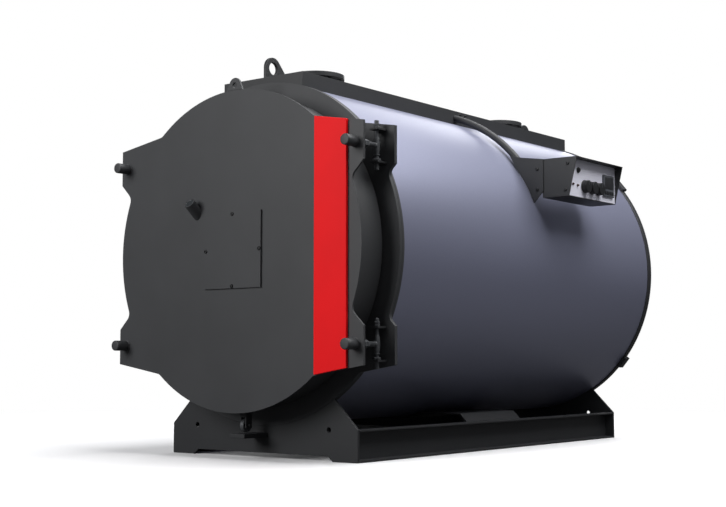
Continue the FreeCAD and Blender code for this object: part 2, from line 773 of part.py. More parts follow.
def control_arm():
    """A tube that follows the jacket from the rail down to the control box."""
    arc = doc.addObject("Part::Torus", "arm_arc")
    bind(arc, Radius1="barrel_radius + arm_offset", Radius2="arm_radius", Angle3=f"90 deg - {ARM_LOW_ANGLE}")
    level = FreeCAD.Rotation(FreeCAD.Vector(1, 0, 0), 90)
    lift = FreeCAD.Rotation(FreeCAD.Vector(0, -1, 0), number(ARM_LOW_ANGLE))
    arc.Placement.Rotation = lift.multiply(level)
    place(arc, 0, "arm_place", AXIS)
    trim = box("arm_trim", ("-rail_half_width", "arm_place - 2 * arm_radius", AXIS),
               ("2 * rail_half_width", "4 * arm_radius", f"{RAIL_TOP} - {AXIS} + arm_offset"))
    subpart(cut("arm_cut", arc, trim), "control_arm")
    body = new_body("arm_bracket")
    sketch = new_sketch(body, "XZ_Plane")
    edge = f"({BOX_INNER} + bracket_overlap)"
    draw_polygon(sketch, [
        (f"{BOX_INNER} - bracket_tail", "box_up + box_height + bracket_tail_rise"),
        (f"{BOX_INNER} - bracket_shoulder", "box_up + box_height + bracket_shoulder_rise"),
        (edge, "box_up + box_height"), (edge, "box_up + bracket_lift"),
        (f"{BOX_INNER} - bracket_toe", "box_up - bracket_toe_drop"),
    ])
    pad(body, sketch, "bracket_wall")
    cradle = new_sketch(body, "XZ_Plane")
    draw_circle(cradle, "barrel_radius + bracket_gap")
    pocket(body, cradle, "bracket_wall")
    place(body, 0, "arm_place - arm_radius - bracket_wall", AXIS)


def control_box():
    """A closed housing with a hood that stands out over its front and tapers down its sides."""
    body = new_body("control_box")
    profile = new_sketch(body, "XZ_Plane")
    draw_polygon(profile, [(0, 0), ("box_depth", 0), ("box_depth + hood_reach", "box_height"),
                           (0, "box_height")])
    pad(body, profile, "box_length")
    recess = new_sketch(body, "YZ_Plane", "box_depth - sheet_wall")
    draw_polygon(recess, [
        ("sheet_wall", "sheet_wall"), ("box_length - sheet_wall", "sheet_wall"),
        ("box_length - sheet_wall", "box_height - sheet_wall"), ("sheet_wall", "box_height - sheet_wall"),
    ])
    pocket(body, recess, "hood_reach + 2 * sheet_wall", backwards=True)
    place(body, BOX_INNER, BOX_NEAR, BOX_LOW)
    panel = box("panel_sheet", (f"{PANEL_X} - sheet_wall", f"{BOX_NEAR} + sheet_wall", f"{BOX_LOW} + sheet_wall"),
                ("sheet_wall", "box_length - 2 * sheet_wall", "box_height - 2 * sheet_wall"))
    subpart(panel, "control_panel")
    for index, name in enumerate(("near", "middle", "far")):
        dial = rod(f"{name}_dial", "dial_radius", "dial_height",
                   (f"{PANEL_X} + dial_gap", f"{BOX_NEAR} + dial_first + {index} * dial_pitch",
                    f"{BOX_LOW} + dial_up"), (1, 0, 0))
        subpart(dial, f"{name}_dial")
    controller = box("controller_block",
                     (PANEL_X, f"{BOX_FAR} - controller_far - controller_width / 2",
                      f"{BOX_LOW} + controller_up - controller_width / 2"),
                     ("controller_proud", "controller_width", "controller_width"))
    subpart(controller, "temperature_controller")
    gland = rod("gland", "gland_radius", "gland_length",
                (f"{PANEL_X} - box_depth / 2", BOX_FAR, f"{BOX_LOW} + gland_up"), (0, 1, 0))
    subpart(gland, "cable_gland")


# ---- door roller

def door_roller():
    wheel_blank = rod("wheel_blank", "roller_radius", "roller_width",
                      ("-roller_width / 2", ROLLER_Y, ROLLER_Z), (1, 0, 0))
    wheel_bore = rod("wheel_bore", "roller_axle_radius + rod_fit", "2 * roller_width",
                     ("-roller_width", ROLLER_Y, ROLLER_Z), (1, 0, 0))
    subpart(cut("wheel_cut", wheel_blank, wheel_bore), "support_roller")
    gap = "(roller_width / 2 + roller_side_gap)"
    cheek_top = f"({AXIS} - {DRUM_RADIUS} + roller_radius)"
    cheek_bottom = f"({ROLLER_Z} - 2 * roller_axle_radius)"
    cheeks = [
        box(f"fork_{side}", (start, f"{ROLLER_Y} - fork_width / 2", cheek_bottom),
            ("fork_wall", "fork_width", f"{cheek_top} - {cheek_bottom}"))
        for side, start in (("left", f"-{gap} - fork_wall"), ("right", gap))
    ]
    crown_bottom = f"({ROLLER_Z} + roller_radius + shelf_gap)"
    crown = box("fork_crown", (f"-{gap} - fork_wall", f"{ROLLER_Y} - fork_width / 2", crown_bottom),
                (f"2 * ({gap} + fork_wall)", "fork_width", f"{cheek_top} - {crown_bottom}"))
    axle = rod("fork_axle", "roller_axle_radius", f"2 * ({gap} + 2 * fork_wall)",
               (f"-{gap} - 2 * fork_wall", ROLLER_Y, ROLLER_Z), (1, 0, 0))
    drum = rod("fork_tool", DRUM_RADIUS, "3 * fork_width", (0, f"{ROLLER_Y} - 1.5 * fork_width", AXIS), (0, 1, 0))
    subpart(cut("fork_cut", fuse("fork_blank", [*cheeks, crown, axle]), drum), "roller_fork")
    shelf = box("shelf_block", ("-shelf_width / 2", f"{FRONT} - shelf_depth", f"{SHELF_TOP} - shelf_wall"),
                ("shelf_width", "shelf_depth", "shelf_wall"))
    subpart(shelf, "roller_shelf")


def check_and_export():
    doc.recompute()
    for thing in doc.Objects:
        if "Invalid" in thing.State or "Error" in thing.State:
            raise ValueError(f"{thing.Label} failed to compute: {thing.State}")
    for thing in subparts:
        if thing.Shape.isNull() or not thing.Shape.isValid() or not thing.Shape.Solids:
            raise ValueError(f"{thing.Label} has no valid solid")
    os.makedirs("parts", exist_ok=True)
    for thing in subparts:
        thing.Shape.exportStep(f"parts/{thing.Label}.step")


def build():
    front_flange()
    barrel()
    rear_clips()
    skid()
    top_rail()
    for label, along in NOZZLES.items():
        nozzle(label, along)
    lifting_lug("front_lifting_lug", f"{FRONT} + lug_setback", 1)
    lifting_lug("rear_lifting_lug", f"{REAR} - lug_setback", -1)
    hinge_side("hinge", KNOB_X, "hinge_rods", "hinge_tabs", "hinge_eye_bolts")
    hinge_side("clamp", f"-{KNOB_X}", "clamp_rods", "clamp_tabs", "clamp_eye_bolts")
    door_plate()
    door_drum()
    door_lining()
    burner_plate()
    accent_strip()
    sight_tube()
    door_lug()
    door_knobs()
    door_roller()
    control_arm()
    control_box()
    check_and_export()


build()
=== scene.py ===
import bpy
import bmesh
import json
from math import cos, pi, radians, sin, tau
from mathutils import Matrix, Vector


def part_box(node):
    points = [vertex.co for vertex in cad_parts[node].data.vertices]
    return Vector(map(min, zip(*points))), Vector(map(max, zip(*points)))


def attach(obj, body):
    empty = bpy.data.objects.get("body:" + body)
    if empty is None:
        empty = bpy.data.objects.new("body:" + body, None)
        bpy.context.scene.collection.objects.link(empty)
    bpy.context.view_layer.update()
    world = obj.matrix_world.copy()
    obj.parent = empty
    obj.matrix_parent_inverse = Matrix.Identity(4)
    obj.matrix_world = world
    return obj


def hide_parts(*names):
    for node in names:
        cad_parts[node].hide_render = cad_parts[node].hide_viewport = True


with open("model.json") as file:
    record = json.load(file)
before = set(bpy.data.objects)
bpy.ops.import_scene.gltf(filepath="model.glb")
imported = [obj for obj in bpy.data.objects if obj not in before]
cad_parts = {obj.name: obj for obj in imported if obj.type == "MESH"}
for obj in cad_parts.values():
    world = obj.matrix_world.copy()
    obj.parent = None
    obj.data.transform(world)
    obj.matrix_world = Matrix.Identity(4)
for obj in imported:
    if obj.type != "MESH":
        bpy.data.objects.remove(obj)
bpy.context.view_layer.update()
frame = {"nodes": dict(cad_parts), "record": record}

bl_info = {
    "name": "Hot-water boiler",
    "version": (1, 0, 0),
    "blender": (4, 5, 0),
    "location": "View3D > Sidebar > Boiler",
    "description": "Dresses the boiler's frame: door, jacket, skid, pipework and control box",
    "category": "Object",
}

MM = 0.001
WELD = 0.02 * MM  # corners nearer than this are one corner
FORWARD, BACK, RIGHT, UP = (Vector(way) for way in ((0, -1, 0), (0, 1, 0), (1, 0, 0), (0, 0, 1)))


# ---- colours and nodes

def colour(code):
    """An sRGB hex code as the linear colour that shaders take."""
    channels = [int(code[start:start + 2], 16) / 255 for start in (1, 3, 5)]
    return [value / 12.92 if value <= 0.04045 else ((value + 0.055) / 1.055) ** 2.4
            for value in channels] + [1]


def shade(base, factor):
    """A colour made darker or lighter by a factor."""
    return [channel * factor for channel in base[:3]] + [1]


def add(tree, kind, inputs=None, **settings):
    """Add a node with its settings; inputs takes values or another node's output."""
    node = tree.nodes.new(kind)
    for name, value in settings.items():
        setattr(node, name, value)
    for socket, value in (inputs or {}).items():
        if isinstance(value, bpy.types.NodeSocket):
            tree.links.new(value, node.inputs[socket])
        else:
            node.inputs[socket].default_value = value
    return node


SOCKETS = {
    "base": "Base Color",
    "metallic": "Metallic",
    "roughness": "Roughness",
    "ior": "IOR",
    "specular": "Specular IOR Level",
    "coat": "Coat Weight",
    "coat_roughness": "Coat Roughness",
}


def new_material(name, **values):
    """A material with its tree and shader; values go on the shader's own sockets."""
    material = bpy.data.materials.new(name)
    material.use_nodes = True
    tree = material.node_tree
    shader = tree.nodes["Principled BSDF"]
    for socket, value in values.items():
        shader.inputs[SOCKETS[socket]].default_value = value
    return material, tree, shader


def on_object(tree):
    """The place on the object, so that a pattern rides with its piece."""
    return add(tree, "ShaderNodeTexCoord").outputs["Object"]


def noise(tree, size, detail):
    """Noise with features of about this size."""
    node = add(tree, "ShaderNodeTexNoise",
               {"Vector": on_object(tree), "Scale": 1 / size, "Detail": detail})
    return node.outputs["Fac"]


def tint(tree, shader, factor, dark, light):
    """Run the base colour between two tones by a factor around one half."""
    ramp = add(tree, "ShaderNodeValToRGB", {"Fac": factor})
    for element, position, tone in zip(ramp.color_ramp.elements, (0.3, 0.7), (dark, light)):
        element.position = position
        element.color = tone
    tree.links.new(ramp.outputs["Color"], shader.inputs["Base Color"])


def roughen(tree, shader, factor, low, high):
    """Run the roughness between two values by a factor."""
    spread = add(tree, "ShaderNodeMapRange", {"Value": factor, "To Min": low, "To Max": high})
    tree.links.new(spread.outputs["Result"], shader.inputs["Roughness"])


def emboss(tree, shader, height, strength, depth):
    """Bump the surface by a height."""
    bump = add(tree, "ShaderNodeBump", {"Height": height, "Strength": strength, "Distance": depth})
    tree.links.new(bump.outputs["Normal"], shader.inputs["Normal"])


# ---- materials

def textured_powder_coat(name, base, grain=5 * MM):
    """Polyester powder coat on steel, with the fine leathery grain of a textured powder."""
    # The real grain is about 1 mm across; it is drawn coarser so that it shows.
    material, tree, shader = new_material(name, ior=1.5, specular=0.35)
    leather = noise(tree, grain, 2)
    tint(tree, shader, noise(tree, 220 * MM, 3), shade(base, 0.93), shade(base, 1.07))
    roughen(tree, shader, leather, 0.43, 0.57)
    emboss(tree, shader, leather, 0.12, 0.4 * MM)
    return material


def coated_jacket_sheet(name, base):
    """Coil-coated sheet with a metallic blue-grey lacquer: satin, with a soft long highlight."""
    material, tree, shader = new_material(name, metallic=0.55, roughness=0.42, coat=0.15,
                                          coat_roughness=0.35)
    # Flakes about 3 mm across, and slow waves of a rolled sheet about 400 mm long.
    tint(tree, shader, noise(tree, 3 * MM, 1), shade(base, 0.96), shade(base, 1.04))
    emboss(tree, shader, noise(tree, 400 * MM, 1), 0.1, 2 * MM)
    return material


def smooth_red_coat(name, base):
    """Smooth satin powder coat: an even bright red with a faint orange peel."""
    material, tree, shader = new_material(name, roughness=0.5, specular=0.12)
    tint(tree, shader, noise(tree, 180 * MM, 2), shade(base, 0.97), shade(base, 1.03))
    emboss(tree, shader, noise(tree, 7 * MM, 1), 0.06, 0.3 * MM)
    return material


def blackened_steel(name, base, roughness=0.5):
    """Steel with a dull black oxide finish: dark grey, barely metallic, and mottled."""
    material, tree, shader = new_material(name, metallic=0.3)
    # Tool marks are about 0.3 mm apart; they are drawn as 4 mm mottling.
    marks = noise(tree, 4 * MM, 3)
    tint(tree, shader, marks, shade(base, 0.85), shade(base, 1.2))
    roughen(tree, shader, marks, roughness - 0.08, roughness + 0.1)
    return material


def cast_refractory(name, base):
    """Cast chamotte concrete: pale, open-grained, with darker grit and small pores."""
    material, tree, shader = new_material(name, roughness=0.95)
    grit = add(tree, "ShaderNodeTexVoronoi", {"Vector": on_object(tree), "Scale": 1 / (9 * MM)})
    pores = grit.outputs["Distance"]
    mixed = add(tree, "ShaderNodeMix", {"Factor": 0.35, "A": noise(tree, 120 * MM, 5), "B": pores})
    tint(tree, shader, mixed.outputs["Result"], shade(base, 0.72), shade(base, 1.12))
    emboss(tree, shader, pores, 0.5, 1.5 * MM)
    return material


def braided_rope(name, base):
    """Braided glass-fibre rope: off-white, with slanting strands about 7 mm apart."""
    material, tree, shader = new_material(name, roughness=0.9)
    strands = add(tree, "ShaderNodeTexWave",
                  {"Vector": on_object(tree), "Scale": 1 / (20 * MM), "Distortion": 1.5},
                  bands_direction="DIAGONAL").outputs["Fac"]
    tint(tree, shader, strands, shade(base, 0.6), base)
    emboss(tree, shader, strands, 0.6, 1 * MM)
    return material


def moulded_plastic(name, base, roughness=0.45, coat=0.0):
    """Injection-moulded plastic with a fine spark-eroded grain."""
    material, tree, shader = new_material(name, roughness=roughness, coat=coat)
    grain = noise(tree, 1.5 * MM, 2)
    tint(tree, shader, grain, shade(base, 0.9), shade(base, 1.1))
    emboss(tree, shader, grain, 0.15, 0.1 * MM)
    return material


def lacquered_aluminium(name, base):
    """Aluminium front sheet with a pale matt lacquer over fine brushing along its length."""
    material, tree, shader = new_material(name, metallic=0.2, roughness=0.45)
    # Brushing is drawn about 3 mm wide and 120 mm long, far coarser than the real lines.
    stretch = add(tree, "ShaderNodeMapping", {"Vector": on_object(tree), "Scale": (300, 8, 300)})
    lines = add(tree, "ShaderNodeTexNoise",
                {"Vector": stretch.outputs["Vector"], "Scale": 1, "Detail": 2})
    tint(tree, shader, lines.outputs["Fac"], shade(base, 0.94), base)
    return material


def dark_sight_glass(name, base):
    """Glass before a dark furnace: grey-green and glossy, with faint smears."""
    material, tree, shader = new_material(name, roughness=0.08, ior=1.47, coat=1.0)
    tint(tree, shader, noise(tree, 8 * MM, 2), shade(base, 0.9), base)
    return material


def soot(name, base):
    """Dry soot on hot steel: nearly black, with brown bloom."""
    material, tree, shader = new_material(name, roughness=0.95)
    tint(tree, shader, noise(tree, 40 * MM, 6), shade(base, 0.6), shade(base, 1.8))
    return material


def pale_floor(name, base):
    """Studio floor: pale and matt, white a few metres out, and dark to reflections."""
    material, tree, shader = new_material(name, base=base, roughness=0.9, specular=0.1)
    distance = add(tree, "ShaderNodeVectorMath", {0: on_object(tree)}, operation="LENGTH")
    fade = add(tree, "ShaderNodeMapRange",
               {"Value": distance.outputs["Value"], "From Min": 2.2, "From Max": 4.5},
               interpolation_type="SMOOTHSTEP")
    white = add(tree, "ShaderNodeEmission", {"Color": (1, 1, 1, 1), "Strength": 1.0})
    pale = add(tree, "ShaderNodeMixShader", {
        0: fade.outputs["Result"], 1: shader.outputs["BSDF"], 2: white.outputs["Emission"]})
    dim = add(tree, "ShaderNodeBsdfDiffuse", {"Color": shade(base, 0.1)})
    seen = add(tree, "ShaderNodeLightPath").outputs["Is Camera Ray"]
    mixed = add(tree, "ShaderNodeMixShader",
                {0: seen, 1: dim.outputs["BSDF"], 2: pale.outputs["Shader"]})
    tree.links.new(mixed.outputs["Shader"], tree.nodes["Material Output"].inputs["Surface"])
    return material


MATERIALS = {}


def make_materials(colours):
    """Fill MATERIALS; the larger paints come from the user's colours."""
    MATERIALS.update({
        "door": textured_powder_coat("textured_anthracite_powder_coat", colours.door),
        "frame": textured_powder_coat("satin_black_powder_coat", colours.frame, 6 * MM),
        "jacket": coated_jacket_sheet("coil_coated_jacket_sheet", colours.jacket),
        "red": smooth_red_coat("smooth_red_powder_coat", colours.strip),
        "steel": blackened_steel("black_oxide_steel", colours.fasteners),
        "screws": blackened_steel("black_oxide_socket_screws", colour("#17181A"), 0.45),
        "ring": blackened_steel("turned_dark_steel", colour("#4A4C4F"), 0.4),
        "refractory": cast_refractory("cast_refractory_concrete", colour("#B7A88C")),
        "rope": braided_rope("braided_glass_rope", colour("#CFC8B8")),
        "plastic": moulded_plastic("moulded_black_abs", colour("#1B1C1E")),
        "button": moulded_plastic("moulded_grey_abs", colour("#55585E"), 0.35),
        "screen": moulded_plastic("smoked_polycarbonate_window", colour("#2A2B2E")),
        "lens": moulded_plastic("tinted_lamp_lens", colour("#3A1416"), 0.2, 0.8),
        "panel": lacquered_aluminium("lacquered_aluminium_sheet", colours.panel),
        "glass": dark_sight_glass("borosilicate_sight_glass", colour("#2B2F31")),
        "soot": soot("dry_soot", colour("#12100E")),
    })


# ---- geometry

def solids(node):
    """Lowest and highest corner of each separate solid in a CAD node, from the bottom up."""
    bm = bmesh.new()
    bm.from_mesh(frame["nodes"][node].data)
    bmesh.ops.remove_doubles(bm, verts=bm.verts, dist=WELD)
    boxes, waiting = [], set(bm.verts)
    while waiting:
        island, edge_of_island = set(), {waiting.pop()}
        while edge_of_island:
            island |= edge_of_island
            edge_of_island = {edge.other_vert(v) for v in edge_of_island
                              for edge in v.link_edges} - island
        waiting -= island
        boxes.append(tuple(Vector(pick(v.co[axis] for v in island) for axis in range(3))
                           for pick in (min, max)))
    bm.free()
    return sorted(boxes, key=lambda pair: (round(pair[0].z, 3), pair[0].x, pair[0].y))


def at(place, direction=UP):
    """A matrix that stands a shape made along +Z at a place, pointing in a direction."""
    turn = UP.rotation_difference(Vector(direction)).to_matrix().to_4x4()
    return Matrix.Translation(Vector(place)) @ turn


def merge(bm, part, place=Matrix()):
    """Move part to its place and add it to bm."""
    bmesh.ops.transform(part, matrix=place, verts=part.verts)
    mesh = bpy.data.meshes.new("part")
    part.to_mesh(mesh)
    part.free()
    bm.from_mesh(mesh)
    bpy.data.meshes.remove(mesh)


SEAM = 0.001 * MM  # the spin leaves doubled corners on the axis


def turned(bm, outline, place=Matrix(), steps=48, closed=False):
    """Spin a half outline of (radius, height) points about Z, then put it in its place."""
    part = bmesh.new()
    corners = [part.verts.new((radius, 0, height)) for radius, height in outline]
    pairs = list(zip(corners, corners[1:])) + ([(corners[-1], corners[0])] if closed else [])
    edges = [part.edges.new(pair) for pair in pairs]
    bmesh.ops.spin(part, geom=corners + edges, cent=(0, 0, 0), axis=(0, 0, 1), dvec=(0, 0, 0),
                   angle=tau, steps=steps, use_merge=True, use_normal_flip=False,
                   use_duplicate=False)
    bmesh.ops.remove_doubles(part, verts=part.verts, dist=SEAM)
    bmesh.ops.recalc_face_normals(part, faces=part.faces)
    merge(bm, part, place)


def pin(bm, radius, length, place, edge=0.6 * MM, steps=32):
    """A round bar from its place along the place's Z, with a small chamfer at each end."""
    turned(bm, [(0, 0), (radius - edge, 0), (radius, edge), (radius, length - edge),
                (radius - edge, length), (0, length)], place, steps)


def hexagon(bm, corner_radius, height, place):
    """A hexagon nut or head with its corners turned off at both ends."""
    part = bmesh.new()
    bmesh.ops.create_cone(part, cap_ends=True, segments=6, radius1=corner_radius,
                          radius2=corner_radius, depth=height)
    bmesh.ops.translate(part, vec=(0, 0, height / 2), verts=part.verts)
    rims = [edge for edge in part.edges if abs(edge.verts[0].co.z - edge.verts[1].co.z) < WELD]
    turned_off = 0.14 * height
    bmesh.ops.bevel(part, geom=rims, offset=turned_off, affect="EDGES", segments=1, profile=0.5,
                    material=-1)
    merge(bm, part, place)


def thread(bm, radius, length, pitch, place, steps=24):
    """A threaded bar drawn as a row of ridges, one to each pitch."""
    root = radius - 0.55 * pitch
    crest_start, crest_end, foot = 0.35, 0.55, 0.95
    outline = [(0, 0), (root, 0)]
    for ridge in range(int(length / pitch)):
        outline += [(radius, (ridge + crest_start) * pitch), (radius, (ridge + crest_end) * pitch),
                    (root, (ridge + foot) * pitch)]
    outline += [(root, length), (0, length)]
    turned(bm, outline, place, steps)


def block(bm, low, high, bevel=0.0):
    """A block between two corners, with rounded edges where a bevel is given."""
    part = bmesh.new()
    low, high = Vector(low), Vector(high)
    bmesh.ops.create_cube(part, size=1)
    bmesh.ops.scale(part, vec=high - low, verts=part.verts)
    bmesh.ops.translate(part, vec=(low + high) / 2, verts=part.verts)
    if bevel:
        bmesh.ops.bevel(part, geom=part.edges[:], offset=bevel, affect="EDGES", segments=2,
                        profile=0.5, material=-1)
    merge(bm, part)


# A button head with a round socket, as shares of its radius and its height.
BUTTON_HEAD = ((0, 0.45), (0.45, 0.45), (0.5, 0.95), (0.72, 0.92), (0.93, 0.6), (1, 0.12), (1, 0),
               (0, 0))


def screw(bm, place):
    """A button-head screw that stands on its place."""
    radius = sizes().screw_head
    height = 0.55 * radius
    turned(bm, [(across * radius, up * height) for across, up in BUTTON_HEAD], place, 20)


def finish(name, bm, material, body, replaced=(), bevel=0.0, sharp=35):
    """Turn a bmesh into a finished piece that rides on a body."""
    mesh = bpy.data.meshes.new(name)
    bm.to_mesh(mesh)
    bm.free()
    for polygon in mesh.polygons:
        polygon.use_smooth = True
    piece = bpy.data.objects.new(name, mesh)
    bpy.context.scene.collection.objects.link(piece)
    mesh.materials.append(MATERIALS[material])
    if bevel:
        rounded = piece.modifiers.new("edges", "BEVEL")
        rounded.width = bevel
        rounded.segments = 2
        rounded.limit_method = "ANGLE"
        rounded.angle_limit = radians(sharp)
        evened = piece.modifiers.new("normals", "WEIGHTED_NORMAL")
        evened.keep_sharp = True
    else:
        mesh.set_sharp_from_angle(angle=radians(sharp))
    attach(piece, body)
    if replaced:
        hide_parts(*replaced)
    return piece


def body_of(node):
    """The body that a CAD node rides on."""
    bodies = frame["record"]["behaviour"]["bodies"]
    return next(body for body, nodes in bodies.items() if node in nodes)


def softened(name, node, material, bevel):
    """A CAD node's own shape with its edges broken, as grinding and paint leave them."""
    bm = bmesh.new()
    bm.from_mesh(frame["nodes"][node].data)
    bmesh.ops.remove_doubles(bm, verts=bm.verts, dist=WELD)
    flat = radians(0.5)
    bmesh.ops.dissolve_limit(bm, angle_limit=flat, use_dissolve_boundaries=False,
                             verts=bm.verts[:], edges=bm.edges[:])
    return finish(name, bm, material, body_of(node), [node], bevel)


def painted(node, material):
    """A CAD node that stays as it is, with a finish of its own."""
    mesh = frame["nodes"][node].data
    mesh.materials.clear()
    mesh.materials.append(MATERIALS[material])


def span(node):
    """Middle, lowest and highest corner of a CAD node."""
    low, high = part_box(node)
    return (low + high) / 2, low, high


# ---- sizes and colours that a user would change

def length(name, description, default):
    """A length in metres, as a property."""
    return bpy.props.FloatProperty(name=name, description=description, default=default,
                                   unit="LENGTH")


def paint(name, description, code):
    """A colour, as a property."""
    return bpy.props.FloatVectorProperty(name=name, description=description, default=colour(code),
                                         size=4, subtype="COLOR")


class BoilerSizes(bpy.types.PropertyGroup):
    plate_edge: length("Plate edge", "Rounding on the edges of cut plate", 1.6 * MM)
    sheet_edge: length("Sheet edge", "Rounding on the edges of folded sheet", 2.2 * MM)
    thread_pitch: length("Thread pitch", "Pitch drawn on the door bolts", 5 * MM)
    nut_corner: length("Nut corner", "Corner radius of the door bolts' nuts", 16 * MM)
    nut_height: length("Nut height", "Height of the door bolts' nuts", 12 * MM)
    screw_head: length("Screw head", "Radius of the small screw heads", 8 * MM)
    tube_radius: length("Smoke tube radius", "Outside radius of a smoke tube", 25.5 * MM)
    tube_wall: length("Smoke tube wall", "Wall of a smoke tube", 3 * MM)
    tube_depth: length("Smoke tube depth", "Length of smoke tube that is modelled", 0.35)
    jacket_steps: bpy.props.IntProperty(
        name="Jacket facets", description="Facets round the jacket", default=256)
    rope_radius: length("Rope radius", "Radius of the door's rope seal", 5 * MM)


class BoilerColours(bpy.types.PropertyGroup):
    door: paint("Door", "Door and front flange", "#3A3B3D")
    frame: paint("Frame", "Skid, rail and control box", "#2E2F31")
    jacket: paint("Jacket", "Jacket sheet", "#878AA0")
    strip: paint("Strip", "Coloured band on the door", "#F2141A")
    fasteners: paint("Fasteners", "Bolts, nuts and screws", "#505255")
    panel: paint("Panel", "Front sheet of the control box", "#F2F2FF")


def sizes():
    """The sizes on the open scene."""
    return bpy.context.scene.boiler_sizes


# ---- door

class BOILER_OT_door_leaf(bpy.types.Operator):
    """The door's front plate, the drum welded behind it and the lug on its top"""
    bl_idname = "boiler.door_leaf"
    bl_label = "Door leaf"

    def execute(self, context):
        edge = sizes().plate_edge
        softened("door_leaf", "door_plate", "door", edge)
        softened("door_drum_wall", "door_drum", "door", edge)
        softened("door_top_lug", "door_lug", "door", edge)
        return {"FINISHED"}


class BOILER_OT_door_seal(bpy.types.Operator):
    """The door's cast lining and the rope seal that lies round it"""
    bl_idname = "boiler.door_seal"
    bl_label = "Door seal"

    def execute(self, context):
        painted("door_lining", "refractory")
        middle, low, high = span("door_lining")
        rope = sizes().rope_radius
        seal_radius = (high.x - low.x) / 2 - 3 * rope
        facets = 12
        section = [(seal_radius + rope * cos(tau * step / facets), rope * sin(tau * step / facets))
                   for step in range(facets)]
        proud = 0.4 * rope
        bm = bmesh.new()
        turned(bm, section, at((0, high.y + proud, middle.z), BACK), 128, closed=True)
        finish("door_rope_seal", bm, "rope", "front_door")
        return {"FINISHED"}


class BOILER_OT_burner_cover(bpy.types.Operator):
    """The square cover over the burner's opening, with a screw in the middle of each side"""
    bl_idname = "boiler.burner_cover"
    bl_label = "Burner cover"

    def execute(self, context):
        softened("burner_cover", "burner_plate", "door", bevel=0.8 * MM)
        mounts = frame["record"]["mounts"]
        pattern = next(row for row in mounts if row["name"] == "burner_screws")
        middle = Vector(pattern["pos_m"])
        reach = pattern["dims"]["pcd_mm"] * MM / 2
        bm = bmesh.new()
        for turn in range(4):
            across = Vector((cos(turn * pi / 2), 0, sin(turn * pi / 2)))
            screw(bm, at(middle + reach * across, FORWARD))
        finish("burner_cover_screws", bm, "screws", "front_door")
        return {"FINISHED"}


class BOILER_OT_accent_strip(bpy.types.Operator):
    """The bare coloured band down the door's hinge side"""
    bl_idname = "boiler.accent_strip"
    bl_label = "Accent strip"

    def execute(self, context):
        softened("coloured_strip", "accent_strip", "red", bevel=1.2 * MM)
        return {"FINISHED"}


SIGHT_TILT = radians(40)  # how far the sight tube points upwards


class BOILER_OT_sight_glass(bpy.types.Operator):
    """The sight tube's wall, the ring that clamps its glass, and the glass"""
    bl_idname = "boiler.sight_glass"
    bl_label = "Sight glass"

    def execute(self, context):
        softened("sight_tube_wall", "sight_tube", "door", bevel=0.6 * MM)
        middle, low, high = span("sight_glass")
        radius = (high.x - low.x) / 2
        wall = (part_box("sight_tube")[1].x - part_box("sight_tube")[0].x) / 2 - radius
        outward = Vector((0, -cos(SIGHT_TILT), sin(SIGHT_TILT)))
        inner, outer = radius - 3 * MM, radius - 0.1 * MM
        mouth, chamfer = 5 * MM, 1 * MM
        bm = bmesh.new()
        outline = [(inner, -chamfer), (outer, -chamfer), (outer, mouth - chamfer),
                   (radius - chamfer, mouth), (inner, mouth - 2 * chamfer)]
        turned(bm, outline, at(middle, outward), 48, closed=True)
        finish("sight_clamp_ring", bm, "ring", "front_door")
        bm = bmesh.new()
        pin(bm, radius, 2 * wall, at(middle - wall * outward, outward), 0.3 * MM, 40)
        finish("sight_glass_disc", bm, "glass", "front_door", ["sight_glass"])
        return {"FINISHED"}


class BOILER_OT_knobs(bpy.types.Operator):
    """The four cap nuts that clamp the door"""
    bl_idname = "boiler.knobs"
    bl_label = "Door knobs"

    def execute(self, context):
        bm = bmesh.new()
        for low, high in solids("door_knobs"):
            middle, length = (low + high) / 2, high.y - low.y
            radius = (high.z - low.z) / 2
            grip = 0.9 * radius
            groove = grip - 1.5 * MM
            collar = [(0, 0), (radius - 1 * MM, 0), (radius, 0.6 * MM), (radius, 3 * MM),
                      (radius - 1 * MM, 3.6 * MM)]
            body = [(groove, 3.6 * MM), (groove, 7 * MM), (grip, 9 * MM), (grip, length - 4 * MM)]
            dome = [(grip - 0.8 * MM, length - 1.8 * MM), (grip - 2.6 * MM, length - 0.4 * MM),
                    (grip - 4.5 * MM, length), (0, length)]
            turned(bm, collar + body + dome, at((middle.x, high.y, middle.z), FORWARD), 48)
        finish("door_cap_nuts", bm, "door", "front_door", ["door_knobs"], sharp=40)
        return {"FINISHED"}


ROD_RADIUS = 8.5 * MM
EYE_BORE = 8.65 * MM
BOLT_RADIUS = 10 * MM


